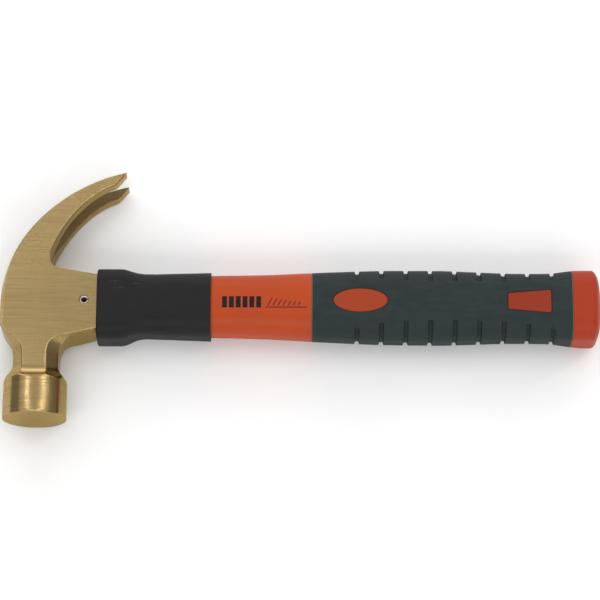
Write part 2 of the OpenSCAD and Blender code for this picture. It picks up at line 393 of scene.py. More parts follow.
def slot_tool():
    """Slot along the claw, lofted in sections from its root to beyond the tips.

    With s the way gone along the hollow from 0 to 1, the half width at the hollow's surface is
    SLOT_HALF (1 - (1 - s / 0.4) ** 2) up to s = 0.4 and constant after it. The far side is a little
    narrower, and a bevel at 45 degrees breaks the edge.
    """
    fine = np.linspace(0, 1, 60)
    way_in = np.array(HOLLOW[0]) - np.linspace(0.4, 0.1, 3)[:, None] * [0.3, 3.0]
    tip = bezier(*TIP_BEVEL, fine)[1:]
    beyond = tip[-1] + np.linspace(0.5, 8, 5)[:, None] * [0.75, 0.66]
    middle = np.concatenate([way_in, bezier(*HOLLOW, fine), tip[3:-2:4], beyond])
    gone = np.concatenate([[0], np.cumsum(np.linalg.norm(np.diff(middle, axis=0), axis=1))])
    root, end = gone[len(way_in)], gone[-len(beyond) - 1]
    share = np.clip((gone - root - 0.5) / (end - root), 0, None)
    mouth = SLOT_HALF * (1 - (1 - np.clip(share / 0.4, 0, 1)) ** 2) + 0.02
    back = mouth * (0.86 + 0.08 * np.clip(share, 0, 1))
    bevel = SLOT_BEVEL * np.clip(mouth / 1.5, 0, 1)
    way = np.gradient(middle, axis=0)
    way /= np.linalg.norm(way, axis=1)[:, None]
    outward = np.stack([way[:, 1], -way[:, 0]], axis=1)
    above = 3.0
    depth = np.array([above, 0.0, -SLOT_BEVEL, -12.0, -34.0])
    out = mouth + bevel * (1 + above / SLOT_BEVEL)
    half = np.stack([out, mouth + bevel, mouth, back, back], axis=1)
    side = middle[:, None] + depth[:, None] * outward[:, None]
    left = np.concatenate([side, half[..., None]], axis=2)
    right = (left * [1, 1, -1])[:, ::-1]
    return skin("slot_tool", np.concatenate([left, right], axis=1))


def oval_ring(x, half_y, half_z, radius, steps=12):
    """Ring across the handle's axis at x: a rectangle with round corners.

    y = side (half_y - radius) + radius cos(turn), and z likewise with half_z and the sine.
    """
    turn = np.concatenate([q * math.pi / 2 + np.linspace(0, math.pi / 2, steps) for q in range(4)])
    side = np.repeat(np.array([[1, 1], [-1, 1], [-1, -1], [1, -1]]), steps, axis=0)
    y = side[:, 0] * (half_y - radius) + radius * np.cos(turn)
    z = side[:, 1] * (half_z - radius) + radius * np.sin(turn)
    return np.stack([np.full(len(turn), float(x)), y, z], axis=1)


EYE_HALF, EYE_CORNER = (11.25, 7.0), 6.5
EYE_FLARE = ((-30, 3.2), (-18.4, 1.3), (-12, 0.5), (0, 0), (60, 0))      # (x, how much wider it is there)


def eye_tool():
    """The eye: an oval passage along the handle that opens out at the head's back."""
    half_y, half_z = EYE_HALF
    ovals = [oval_ring(x, half_y + wider, half_z + wider, EYE_CORNER + wider) for x, wider in EYE_FLARE]
    return skin("eye_tool", np.array(ovals))


def drill(radius, height, sink):
    """Drill along Z at the pin's place: a cylinder that opens by sink at the two cheeks."""
    turn = 2 * math.pi * even(48)
    top = half_thickness(PIN_X, 0.0)
    upper = [(top - sink, 0), (top, sink), (height, sink * 4)]
    levels = [(-z, wider) for z, wider in upper[::-1]] + upper
    circle = np.stack([np.cos(turn), np.sin(turn)], axis=1)
    rows = []
    for z, wider in levels:
        rows.append(np.column_stack([[PIN_X, 0] + (radius + wider) * circle, np.full(len(circle), z)]))
    return skin("drill", np.array(rows))


cut(head, slot_tool())
cut(head, eye_tool())
cut(head, drill(PIN_R, 14.0, 0.25))
shade(head)
belongs(head, "head")

# %% [markdown]
# Everything on the handle shares one kind of section: a rectangle with big round corners, a little crowned
# on its sides. A moulded handle is a row of such sections that swell and shrink along its length. So one
# function draws a ring of it, and each piece only says how the half depth, the half thickness and the
# corners change along the handle.

# %% Sections of the handle
SIDE_STEPS, EDGE_STEPS, CORNER_STEPS = 44, 16, 22


def ring_plan():
    """For each point of a ring: its share of the two flats and the way it faces, once round.

    A ring has four corners of 90 degrees. Between them lie two edges (above and below) and two sides
    (near and far). The flat share runs from 1 to -1 along a flat and stays at 1 or -1 round a corner.
    """
    share_y, share_z, turn = [], [], []
    signs = [(1, 1), (-1, 1), (-1, -1), (1, -1)]
    for quarter, (sy, sz) in enumerate(signs):
        angle = quarter * math.pi / 2 + np.linspace(0, math.pi / 2, CORNER_STEPS)
        share_y.append(np.full(CORNER_STEPS, sy))
        share_z.append(np.full(CORNER_STEPS, sz))
        turn.append(angle)
        flat = SIDE_STEPS if quarter % 2 == 0 else EDGE_STEPS
        run = np.linspace(1, -1, flat + 2)[1:-1]
        next_y, next_z = signs[(quarter + 1) % 4]
        share_y.append(run * sy if next_y != sy else np.full(flat, sy))
        share_z.append(run * sz if next_z != sz else np.full(flat, sz))
        turn.append(np.full(flat, angle[-1]))
    return (np.concatenate(v) for v in (share_y, share_z, turn))


SHARE_Y, SHARE_Z, TURN = ring_plan()


def sections(x, half_y, half_z, corner, inset=0.0, crown=0.0, shift=0.0):
    """Rings [x, point, 3] of the handle. Each argument is one number or one value for each x.

    y = share (half_y - corner) + corner cos(turn), z = share (half_z - corner) + corner sin(turn), both
    drawn in along the way the point faces by inset, and lifted on the sides by crown (1 - share^2).
    """
    x, half_y, half_z, corner, inset, crown, shift = np.broadcast_arrays(
        *(np.asarray(v, float) for v in (x, half_y, half_z, corner, inset, crown, shift)))
    col = [v[:, None] for v in (x, half_y, half_z, corner, inset, crown, shift)]
    x, half_y, half_z, corner, inset, crown, shift = col
    y = SHARE_Y * (half_y - corner) + (corner - inset) * np.cos(TURN)
    z = SHARE_Z * (half_z - crown - corner) + (corner - inset) * np.sin(TURN)
    z = z + crown * (1 - SHARE_Y ** 2) * np.sign(np.sin(TURN)) * (np.abs(np.sin(TURN)) > 0.99)
    return np.stack([np.broadcast_to(x, y.shape), y + shift, z], axis=2)


def smooth_line(x, knots, values):
    """Values along the handle through the knots, rounded over about 3 mm at each of them."""
    spread = np.linspace(-1.5, 1.5, 9)
    return np.mean([np.interp(x + s, knots, values) for s in spread], axis=0)


SIDE_CROWN = 0.3
DEPTH_KNOTS = [46, 57, 94, 105, 120, 131, 141.3, 151, 162, 172, 182, 193,
               208, 218, 229, 234, 244, 255, 265, 270, 275.2]
HANDLE_HALF_Y = [14.0, 14.2, 15.85, 16.0, 16.4, 16.95, 17.5, 17.95, 18.35, 18.7, 18.87, 18.9,
                 18.95, 18.6, 18.2, 18.0, 17.7, 17.65, 17.7, 18.15, 18.65]
THICK_KNOTS = [46, 94, 141.3, 182, 208, 244, 262, 275.2]
HANDLE_HALF_Z = [11.2, 12.7, 13.6, 14.5, 14.5, 14.2, 14.4, 15.8]
CORNER_KNOTS = [46, 94, 141, 182, 262, 276]
HANDLE_CORNER = [9, 10.5, 11.5, 12, 11.5, 10.5]


def handle_size(x):
    """Half depth, half thickness and corner radius of the handle's outside at x."""
    half_y = smooth_line(x, DEPTH_KNOTS, HANDLE_HALF_Y)
    half_z = smooth_line(x, THICK_KNOTS, HANDLE_HALF_Z)
    return half_y, half_z, np.interp(x, CORNER_KNOTS, HANDLE_CORNER)


# %% [markdown]
# The collar is a black rubber sleeve, stretched over the head's socket and the front of the handle. It
# bulges over the socket, falls in a soft step and then widens slowly. Its wall shows at its two ends, so it
# is a real shell with rolled ends.

# %% Collar
COLLAR_KNOTS = [31, 44.5, 48, 51.5, 55, 62, 89.5]
COLLAR_HALF_Y = [18.7, 18.75, 17.6, 16.4, 16.05, 16.3, 17.25]
COLLAR_HALF_Z = [14.0, 14.0, 13.7, 13.3, 13.0, 13.0, 13.9]
COLLAR_DROP = [-0.8, -0.8, -0.6, -0.25, -0.15, -0.2, -0.2]
COLLAR_LIP, COLLAR_BACK_LIP = 0.9, 0.4


def collar_rings():
    """Outside from the head to the jacket, then back along the jacket and the socket, as one closed strip.

    Each end rolls over a quarter circle: x = lip (1 - cos turn), inset = lip (1 - sin turn).
    """
    roll = np.linspace(0, math.pi / 2, 7)
    body = np.linspace(COLLAR_START + COLLAR_LIP, COLLAR_END - COLLAR_BACK_LIP, 120)
    x = np.concatenate([
        COLLAR_START + COLLAR_LIP * (1 - np.cos(roll[:-1])),
        body,
        COLLAR_END - COLLAR_BACK_LIP * (1 - np.sin(roll[1:])),
    ])
    inset = np.concatenate([
        COLLAR_LIP * (1 - np.sin(roll[:-1])),
        0 * body,
        COLLAR_BACK_LIP * (1 - np.cos(roll[1:])),
    ])
    half_y = smooth_line(x, COLLAR_KNOTS, COLLAR_HALF_Y)
    half_z = smooth_line(x, COLLAR_KNOTS, COLLAR_HALF_Z)
    drop = smooth_line(x, COLLAR_KNOTS, COLLAR_DROP)
    corner = np.interp(x, [31, 46, 60, 90], [8, 8, 9.5, 11])
    outside = sections(x, half_y, half_z, corner, inset=inset, crown=SIDE_CROWN, shift=drop)
    on_jacket = np.linspace(COLLAR_END, SOCKET_END, 24)
    on_socket = np.linspace(SOCKET_END - 0.01, COLLAR_START, 12)
    grip_y, grip_z, grip_corner = handle_size(on_jacket)
    along_jacket = sections(on_jacket, grip_y, grip_z, grip_corner, crown=SIDE_CROWN)
    socket_y = np.interp(on_socket, [31, 46], [14.65, 13.45])
    socket_z = np.interp(on_socket, [31, 46], [11.75, 10.95])
    along_socket = sections(on_socket, socket_y, socket_z, 0.8, shift=-0.35)
    return np.concatenate([outside, along_jacket, along_socket])


collar = skin("rubber_collar", collar_rings(), closed_along=True)
shade(collar, 40)
belongs(collar, "collar")

# %% [markdown]
# The jacket is one orange moulding: its front shows between the collar and the grip, a thinner layer lies
# under the grip, two pads stand up through the grip's windows on each side, and the butt flares out behind
# it. The body is a row of sections, the pads are little domes joined to it, and the core's passage is taken
# out of it.

# %% Jacket and butt
BUTT_HALF_Y, BUTT_HALF_Z = 18.75, 16.5
BUTT_DROP = -0.2
BUTT_DEEP = 5.2
GRIP_WALL = 2.6
CORE_HALF, CORE_CORNER = (9.5, 5.5), 5.0
CORE_ENDS = (-16.0, 283.0)


def jacket_rings():
    """Front, the layer under the grip and the butt with its end, a superellipse dome that leans a little.

    A ring of the dome has the size s of the butt, lies at deep (1 - s^2.4)^(1/2.4) along it and sinks by
    0.9 sqrt(1 - s).
    """
    lip = 0.35
    roll = np.linspace(0, math.pi / 2, 5)[1:]
    front = np.linspace(SOCKET_END, GRIP_START - lip, 90)
    under = np.linspace(GRIP_START, BUTT_START, 90)
    butt = np.linspace(BUTT_START + lip, BUTT_END - BUTT_DEEP, 24)
    x = np.concatenate([
        front,
        GRIP_START - lip + lip * np.sin(roll),
        under,
        BUTT_START + lip - lip * np.cos(roll),
        butt,
    ])
    inset = np.concatenate([
        0 * front,
        lip * (1 - np.cos(roll)),
        0 * under + GRIP_WALL,
        lip * (1 - np.sin(roll)),
        0 * butt,
    ])
    half_y, half_z, corner = handle_size(x)
    flare = step(x, BUTT_START - 0.5, BUTT_START + 6) * (x > BUTT_START - 0.1)
    half_y = half_y + (BUTT_HALF_Y - half_y) * flare
    half_z = half_z + (BUTT_HALF_Z - half_z) * flare
    body = sections(x, half_y, half_z, corner, inset=inset, crown=SIDE_CROWN, shift=BUTT_DROP * flare)
    size = np.cos(np.linspace(0, math.pi / 2, 26)[1:-1]) ** 0.9
    dome_x = BUTT_END - BUTT_DEEP + BUTT_DEEP * (1 - size ** 2.4) ** (1 / 2.4)
    dome = sections(dome_x, BUTT_HALF_Y * size, BUTT_HALF_Z * size, 10.5 * size, crown=SIDE_CROWN * size,
                    shift=BUTT_DROP - 0.9 * np.sqrt(1 - size))
    return np.concatenate([body, dome])


def core_section(x, grow=0.0):
    """The core's section at each x: a flat-sided oval, grown by grow."""
    return sections(x, CORE_HALF[0] + grow, CORE_HALF[1] + grow, CORE_CORNER + grow)


jacket = skin("orange_jacket", jacket_rings())
cut(jacket, skin("core_tool", core_section(np.array([SOCKET_END - 5, 120, 200, CORE_ENDS[1]]))))

# %% [markdown]
# A window and the pad that fills it share one outline, an oval near the front and a wedge near the butt. The
# window's tool is that outline pushed through the rubber, opening a little at the surface. The pad is the
# same outline drawn slightly smaller, whose top follows the handle's crowned side and rolls over its edge.

# %% Pads in the grip's windows
OVAL_X, OVAL_HALF = 166.3, (14.05, 6.35)
WEDGE_X, WEDGE_HALF, WEDGE_CORNER = 253.0, (11.2, 5.35), 0.9
WEDGE_TAPER = 0.19


def side_height(x, y):
    """Height of the handle's side at (x, y): half thickness less the crown's fall towards the corners."""
    half_y, half_z, corner = handle_size(x)
    share = np.clip(y / (half_y - corner), -1, 1)
    return half_z - SIDE_CROWN * share ** 2


def oval(grow):
    """Oval outline: x = middle + (a + grow) cos, y = (b + grow) sin."""
    turn = 2 * math.pi * even(120)
    half_x, half_y = OVAL_HALF
    return np.stack([OVAL_X + (half_x + grow) * np.cos(turn), (half_y + grow) * np.sin(turn)], axis=1)


def wedge(grow):
    """Wedge outline: a rectangle with small round corners, whose height grows by taper x / half_x."""
    half_x, half_y = WEDGE_HALF
    x = SHARE_Y * (half_x - WEDGE_CORNER) + (WEDGE_CORNER + grow) * np.cos(TURN)
    y = SHARE_Z * (half_y - WEDGE_CORNER) + (WEDGE_CORNER + grow) * np.sin(TURN)
    return np.stack([WEDGE_X + x, y * (1 + WEDGE_TAPER * x / half_x)], axis=1)


def on_side(xy, depth, side=1):
    """Points laid at a depth below the handle's near side (1) or far side (-1)."""
    return np.column_stack([xy, side * (side_height(xy[:, 0], xy[:, 1]) - depth)])


def window_tool(outline, side):
    """Column over an outline, from inside the jacket to above the grip, that widens at the surface."""
    levels = [(0, 4.5), (0, 0.35), (0.28, 0), (0.9, -0.7)]
    return skin("window_tool", np.array([on_side(outline(grow), depth, side) for grow, depth in levels]))


PAD_GAP, PAD_EDGE, PAD_SUNK, PAD_SWELL = 0.12, 0.32, 0.1, 0.12


def pad(outline, side):
    """Pad whose wall rises to the surface, rolls over its edge and swells in the middle.

    The edge is a quarter circle, and a ring of the size s is lifted by swell (1 - s^2).
    """
    rows = [on_side(outline(-PAD_GAP), depth, side) for depth in (4.2, 1.5, PAD_SUNK + PAD_EDGE)]
    for turn in (0.4, 0.8, 1.2, 1.57):
        rolled = outline(-PAD_GAP - PAD_EDGE * (1 - math.cos(turn)))
        rows.append(on_side(rolled, PAD_SUNK + PAD_EDGE * (1 - math.sin(turn)), side))
    rim = outline(-PAD_GAP - PAD_EDGE)
    middle = rim.mean(0)
    for size in np.linspace(0.93, 0.06, 14):
        rows.append(on_side(middle + size * (rim - middle), PAD_SUNK - PAD_SWELL * (1 - size ** 2), side))
    return skin("pad", np.array(rows))


for shape in (oval, wedge):
    for side in (1, -1):
        cut(jacket, pad(shape, side), "UNION")
shade(jacket, 40)
belongs(jacket, "jacket")

# %% [markdown]
# The grip is a rubber skin moulded over the jacket. Nine cross grooves bite into its back and nine into its
# front. Each is a displacement of the surface: it has a flat floor, steep walls and soft lips, and it stops
# on the sides where a shallow arc says. A boolean could cut them too, but it would leave every lip sharp.

# %% Grip
GROOVE_FIRST, GROOVE_PITCH, GROOVE_COUNT = 164.6, 12.55, 9
GROOVE_DEPTH, GROOVE_FLOOR, GROOVE_MOUTH = 1.45, 0.75, 1.3
GROOVE_STOP, GROOVE_ARC = 10.7, 3.8      # where the middle groove stops, and how much shorter the last are


def grip_stations():
    """Places along the grip: close together across each groove and wider apart between grooves."""
    x = [np.linspace(GRIP_START + 0.3, GROOVE_FIRST - 2, 16)]
    for i in range(GROOVE_COUNT):
        middle = GROOVE_FIRST + i * GROOVE_PITCH
        x.append(middle + np.linspace(-1.6, 1.6, 17))
        x.append(middle + np.linspace(2.1, min(GROOVE_PITCH - 2.1, BUTT_START - 0.4 - middle), 8))
    return np.concatenate(x)


def groove_depth(x, y):
    """Depth of the grooves at (x, y): a trapezium across each groove, faded out where the groove stops."""
    index = np.clip(np.round((x - GROOVE_FIRST) / GROOVE_PITCH), 0, GROOVE_COUNT - 1)
    off = np.abs(x - GROOVE_FIRST - index * GROOVE_PITCH)
    middle = (GROOVE_COUNT - 1) / 2
    stop = GROOVE_STOP + GROOVE_ARC * np.abs((index - middle) / middle) ** 3
    across = 1 - step(off, GROOVE_FLOOR, GROOVE_MOUTH)
    return GROOVE_DEPTH * across * step(np.abs(y), stop - 0.3, stop + 0.5)


def grip_rings():
    """Outside with its grooves from the front to the butt, then back along the inside."""
    roll = np.linspace(0, math.pi / 2, 5)
    lip = 0.3
    body = grip_stations()
    inside = np.linspace(BUTT_START, GRIP_START, 40)
    x = np.concatenate([
        GRIP_START + lip * (1 - np.cos(roll[:-1])),
        body,
        BUTT_START - lip + lip * np.sin(roll[1:]),
        inside,
    ])
    inset = np.concatenate([
        lip * (1 - np.sin(roll[:-1])),
        0 * body,
        lip * (1 - np.cos(roll[1:])),
        0 * inside + GRIP_WALL,
    ])
    half_y, half_z, corner = handle_size(x)
    rows = sections(x, half_y, half_z, corner, inset=inset, crown=SIDE_CROWN)
    depth = groove_depth(x[:, None], rows[..., 1])
    depth[-len(inside):] = 0
    facing = np.stack([0 * TURN, np.cos(TURN), np.sin(TURN)], axis=1)
    return rows - depth[..., None] * facing


grip = skin("rubber_grip", grip_rings(), closed_along=True)
for shape in (oval, wedge):
    for side in (1, -1):
        cut(grip, window_tool(shape, side))
shade(grip, 40)
belongs(grip, "grip")

# %% [markdown]
# Inside the head's eye sit the core's end and the resin round it. The core is a pultruded rod with sawn,
# slightly broken edges. The resin was poured in, so its open surface sinks between the two walls that it
# wets. The cross pin goes through both.

# %% Core, resin and cross pin
CORE_BEVEL = 0.5
RESIN_GAP = 0.02          # keeps the resin just clear of the eye's wall
TROUGH = 0.9
PIN_WALL, PIN_BEVEL, PIN_SLOT_HALF, PIN_SUNK = 0.78, 0.22, 0.45, 0.45


def core_rings():
    """Rod along the handle, smaller by the bevel at its two ends."""
    start, end = CORE_ENDS
    x = np.array([start, start + CORE_BEVEL, 0, 60, 120, 180, 240, end - CORE_BEVEL, end])
    grow = np.zeros(len(x))
    grow[[0, -1]] = -CORE_BEVEL
    return core_section(x, grow)


def resin_rings():
    """Sleeve between the eye and the core. Its open end sinks by trough sin(pi u) at the share u across."""
    outer_x = np.array([SOCKET_END, 20, 0, -12, -15.4])
    wider = np.interp(outer_x, *np.transpose(EYE_FLARE))
    half_y, half_z = (half - RESIN_GAP + wider for half in EYE_HALF)
    outer = sections(outer_x, half_y, half_z, EYE_CORNER + wider)
    inner = core_section(np.array([-15.6, 0, 20, SOCKET_END]), RESIN_GAP / 2)
    across = np.linspace(0, 1, 12)[1:-1, None, None]
    trough = (1 - across) * outer[-1] + across * inner[0]
    trough[..., 0] += TROUGH * np.sin(math.pi * across[..., 0])
    return np.concatenate([outer, trough, inner])


def pin_rings():
    """Slotted tube: the wall's chamfered outline [radius, z], carried round the axis from lip to lip."""
    half = half_thickness(PIN_X, 0.0) - PIN_SUNK
    inner, outer = PIN_R - PIN_WALL, PIN_R - 0.01
    top = [
        [outer, half - PIN_BEVEL], [outer - PIN_BEVEL, half],
        [inner + PIN_BEVEL, half], [inner, half - PIN_BEVEL],
    ]
    wall = np.array([[r, -z] for r, z in top[::-1]] + top)
    lip = PIN_SLOT_HALF / PIN_R
    turn = np.linspace(lip, 2 * math.pi - lip, 64)[:, None]
    x = PIN_X + wall[:, 0] * np.cos(turn)
    return np.stack([x, wall[:, 0] * np.sin(turn), np.broadcast_to(wall[:, 1], x.shape)], axis=2)


core = skin("fibreglass_core", core_rings())
cut(core, drill(PIN_R, 14.0, 0.0))
shade(core, 30)
belongs(core, "handle_core")
resin = skin("eye_resin", resin_rings(), closed_along=True)
cut(resin, drill(PIN_R, 14.0, 0.0))
shade(resin, 40)
belongs(resin, "eye_epoxy")
pin = skin("cross_pin_tube", pin_rings())
shade(pin, 30)
belongs(pin, "cross_pin")

# %% [markdown]
# The jacket carries a plain pad print: a row of upright bars, a row of short slanted strokes and one fine
# line. It could be colour alone, but ink is a real layer, so each mark is a thin slab that follows the
# crowned side.

# %% Print on the jacket
INK_PROUD = 0.04
INK_SUNK = 0.3


def mark(x0, x1, y0, y1, slant=0.0):
    """Rows of a slab over the rectangle [x0, x1] by [y0, y1], leant by slant, on the jacket's side."""
    along, across = np.linspace(x0, x1, 9), np.linspace(y0, y1, 7)[1:-1]
    border = np.concatenate([
        np.column_stack([along, np.full(9, y0)]),
        np.column_stack([np.full(5, x1), across]),
        np.column_stack([along, np.full(9, y1)])[::-1],
        np.column_stack([np.full(5, x0), across])[::-1],
    ])
    border[:, 0] += slant * (border[:, 1] - y0)
    middle = border.mean(0)
    levels = [(1, INK_SUNK), (1, -0.6 * INK_PROUD)] + [(size, -INK_PROUD) for size in (0.97, 0.5, 0.05)]
    return np.array([on_side(middle + size * (border - middle), depth) for size, depth in levels])


bars = [(95.4 + 3.5 * i, 97.9 + 3.5 * i, -4.1, 1.9) for i in range(6)]
slants = [(118.6 + 2.6 * i, 119.1 + 2.6 * i, -3.0, 0.9 - 0.35 * i, 0.55) for i in range(7)]
fine = [(117.5, 139.0, -4.1, -3.7)]
marks = [skin("mark", mark(*box)) for box in bars + slants + fine]
bpy.ops.object.select_all(action="DESELECT")
for piece in marks:
    piece.select_set(True)
bpy.context.view_layer.objects.active = marks[0]
bpy.ops.object.join()
ink = marks[0]
ink.name = "jacket_print"
shade(ink, 30)
belongs(ink, "jacket")

# %% [markdown]
# Every finish is made of nodes. They work in the hammer's own millimetres, so a scratch 20 mm long is
# written as 20. A few short helpers keep the recipes readable: one makes a node, some do sums, one makes
# noise that may be stretched into grain, one turns a value into a soft step, and one lays coats of colour.

# %% Shader tools
class Finish:
    """A material with a Principled shader and short ways to build the values that feed it."""

    def __init__(self, name, **plain):
        self.material = bpy.data.materials.new(name)
        self.material.use_nodes = True
        self.tree = self.material.node_tree
        self.shader = self.tree.nodes["Principled BSDF"]
        for socket, value in plain.items():
            self.shader.inputs[socket.replace("_", " ")].default_value = value
        mapping = self.node("ShaderNodeMapping", {
            "Vector": self.node("ShaderNodeTexCoord").outputs["Object"],
            "Location": [-v / MM for v in datum],
            "Scale": [1 / MM] * 3,
        })
        self.mm = mapping.outputs[0]
        self.x, self.y, self.z = self.node("ShaderNodeSeparateXYZ", {0: self.mm}).outputs

    def node(self, kind, inputs=None, **settings):
        """A node whose inputs are numbers or other nodes' outputs."""
        made = self.tree.nodes.new(kind)
        for key, value in settings.items():
            setattr(made, key, value)
        for key, value in (inputs or {}).items():
            if isinstance(value, bpy.types.NodeSocket):
                self.tree.links.new(value, made.inputs[key])
            else:
                made.inputs[key].default_value = value
        return made

    def sum(self, operation, *values):
        """One step of arithmetic, such as POWER or WRAP."""
        return self.node("ShaderNodeMath", dict(enumerate(values)), operation=operation).outputs[0]

    def times(self, *values):
        """Product of the values."""
        return reduce(lambda a, b: self.sum("MULTIPLY", a, b), values)

    def plus(self, *values):
        """Total of the values."""
        return reduce(lambda a, b: self.sum("ADD", a, b), values)

    def most(self, *values):
        """Largest of the values."""
        return reduce(lambda a, b: self.sum("MAXIMUM", a, b), values)

    def less(self, value, other):
        """The value less the other one."""
        return self.sum("SUBTRACT", value, other)

    def size(self, value):
        """The value without its sign."""
        return self.sum("ABSOLUTE", value)

    def noise(self, per_mm, stretch=(1, 1, 1), detail=3.0, rough=0.55, turn=(0, 0, 0)):
        """Noise from 0 to 1 with per_mm features in a millimetre; stretch thins it along some axes."""
        bent = self.node("ShaderNodeMapping", {"Vector": self.mm, "Rotation": turn, "Scale": stretch})
        made = self.node("ShaderNodeTexNoise", {
            "Vector": bent.outputs[0], "Scale": per_mm, "Detail": detail, "Roughness": rough,
        })
        return made.outputs["Fac"]

    def soft(self, value, start, end, low=0.0, high=1.0):
        """Smooth step: low before start, high after end."""
        made = self.node("ShaderNodeMapRange", {
            "Value": value, "From Min": start, "From Max": end, "To Min": low, "To Max": high,
        }, interpolation_type="SMOOTHSTEP")
        return made.outputs["Result"]

    def blend(self, share, first, second):
        """Mix of two colours by a share from 0 to 1."""
        return self.node("ShaderNodeMix", {0: share, 6: first, 7: second}, data_type="RGBA").outputs[2]

    def paint(self, share, first, second, *coats):
        """Colour of the surface: a mix of two tones, then coats of (share from 0 to 1, colour) over it."""
        tone = self.blend(share, first, second)
        for cover, colour in coats:
            tone = self.blend(cover, tone, colour)
        self.feed("Base Color", tone)

    def streak(self, x, y, angle, long, wide):
        """A scuff: 1 on a line of the given length and width about (x, y), fading at its ends.

        along = dx cos(angle) + dy sin(angle) and across = dy cos(angle) - dx sin(angle).
        """
        cos, sin = math.cos(math.radians(angle)), math.sin(math.radians(angle))
        dx, dy = self.less(self.x, x), self.less(self.y, y)
        along = self.plus(self.times(dx, cos), self.times(dy, sin))
        across = self.less(self.times(dy, cos), self.times(dx, sin))
        near = self.soft(self.size(along), long * 0.5, long * 0.2)
        thin = self.soft(self.size(across), wide * 0.5, wide * 0.1)
        return self.times(near, thin)

    def relief(self, *layers):
        """Bump from layers of (height 0 to 1, depth in mm), chained into the shader's normal."""
        normal = None
        for height, depth in layers:
            inputs = {"Height": height, "Distance": depth * MM, "Strength": 1.0}
            if normal is not None:
                inputs["Normal"] = normal
            normal = self.node("ShaderNodeBump", inputs).outputs[0]
        self.feed("Normal", normal)

    def feed(self, socket, value):
        """Link a value into the shader."""
        self.tree.links.new(value, self.shader.inputs[socket])

    def onto(self, piece):
        """Give the material to a piece."""
        piece.data.materials.clear()
        piece.data.materials.append(self.material)
        print(piece.name, "wears", self.material.name, "from", len(self.tree.nodes), "nodes")


def rgb(r, g, b):
    """A colour written with sRGB values from 0 to 255, as linear light."""
    linear = [v / 255 / 12.92 if v <= 10 else ((v / 255 + 0.055) / 1.055) ** 2.4 for v in (r, g, b)]
    return (*linear, 1.0)


# %% [markdown]
# The head is a copper alloy, cast, ground and then brushed along the handle's direction. So its grain is
# noise drawn out along X. The striking face was turned, which leaves rings instead. Oil and handling leave
# faint brown clouds, edges are rubbed bright and the sunken places keep more tarnish. The slot's walls
# are painted dark brown and duller, as painted shade between the claw's prongs.

# %% Brushed golden alloy
brass = Finish("brushed_alloy", Metallic=1.0, IOR=1.45, Specular_Tint=rgb(236, 223, 193))
grain = brass.noise(1.2, (0.02, 1, 1), detail=2, rough=0.6)
hairline = brass.noise(3.2, (0.01, 1, 1), detail=1)
line_grain = brass.plus(brass.times(grain, 0.65), brass.times(hairline, 0.35))
on_poll = brass.soft(brass.y, POLL_TOP + 2, POLL_TOP + 0.5)
around = brass.noise(2.3, (0.02, 1, 0.02), detail=1)
body_grain = brass.node("ShaderNodeMix", {0: on_poll, 2: line_grain, 3: around}).outputs[0]
square_x, square_z = (brass.sum("POWER", value, 2.0) for value in (brass.x, brass.z))
ring_place = brass.node("ShaderNodeCombineXYZ", {"X": brass.sum("SQRT", brass.plus(square_x, square_z))})
turned = brass.node("ShaderNodeTexNoise", {"Vector": ring_place.outputs[0], "Scale": 3.5, "Detail": 3.0})
on_face = brass.soft(brass.y, -FACE + 0.9, -FACE + 0.6)
finish_grain = brass.node("ShaderNodeMix", {0: on_face, 2: body_grain, 3: turned.outputs["Fac"]}).outputs[0]

clouds = brass.noise(0.055, detail=4, rough=0.6)
spots = brass.noise(0.9, detail=4, rough=0.7)
pores = brass.soft(brass.noise(2.4, detail=1), 0.2, 0.15)
surface = brass.node("ShaderNodeNewGeometry").outputs
rubbed = brass.soft(surface["Pointiness"], 0.515, 0.56)
sunk = brass.soft(surface["Pointiness"], 0.49, 0.455)
facing = brass.node("ShaderNodeSeparateXYZ", {0: surface["True Normal"]}).outputs
# Painted shade: the slot's walls between the prongs are painted dark brown.
slot_shade = brass.times(
    brass.soft(brass.size(brass.z), SLOT_HALF + 2.0, SLOT_HALF + 1.1),
    brass.soft(brass.y, 19.0, 23.0),
    brass.soft(brass.size(facing["Z"]), 0.5, 0.8),
)
wander = brass.noise(0.09, (0.35, 1, 1), detail=0, turn=(0, 0, 0.35))
scratches = brass.times(
    brass.soft(brass.size(brass.less(wander, 0.5)), 0.0022, 0.0008),
    brass.soft(brass.noise(0.12, detail=2), 0.52, 0.62),
)
brass.paint(
    brass.soft(finish_grain, 0.3, 0.7), rgb(155, 133, 90), rgb(178, 154, 108),
    (brass.soft(clouds, 0.42, 0.72, 0.0, 0.40), rgb(146, 122, 76)),
    (brass.soft(spots, 0.62, 0.8, 0.0, 0.22), rgb(116, 92, 52)),
    (brass.times(sunk, 0.35), rgb(92, 74, 44)),
    (brass.times(rubbed, 0.12), rgb(206, 184, 138)),
    (brass.times(pores, 0.55), rgb(88, 68, 40)),
    (brass.times(slot_shade, 0.8), rgb(92, 72, 46)),
)
dullness = brass.plus(
    brass.soft(finish_grain, 0.3, 0.7, 0.25, 0.19),
    brass.soft(clouds, 0.4, 0.75, 0.0, 0.06),
    brass.times(slot_shade, 0.3),
    brass.times(sunk, 0.12),
)
brass.feed("Roughness", brass.less(dullness, brass.times(on_poll, 0.05)))
brass.relief((finish_grain, 0.013), (scratches, -0.004), (pores, -0.006))
brass.onto(head)

# %% [markdown]
# The three polymers differ in their gloss more than in their recipe. Collar and grip are matt rubber, whose
# skin copies a sand-blasted mould. The jacket is a shinier moulded plastic, painted darker on its pads and
# its butt. All three have a faint parting line along their two edges. A pale line at both ends of the grip
# is a painted highlight on its rounded lips, the grooves are painted darker, and hands polish what they rub.

# %% Rubber and plastic
def parting_line(finish, wide=0.16):
    """The mould's seam: 1 within a thin band about the plane z = 0."""
    return finish.soft(finish.size(finish.z), wide, wide * 0.4)


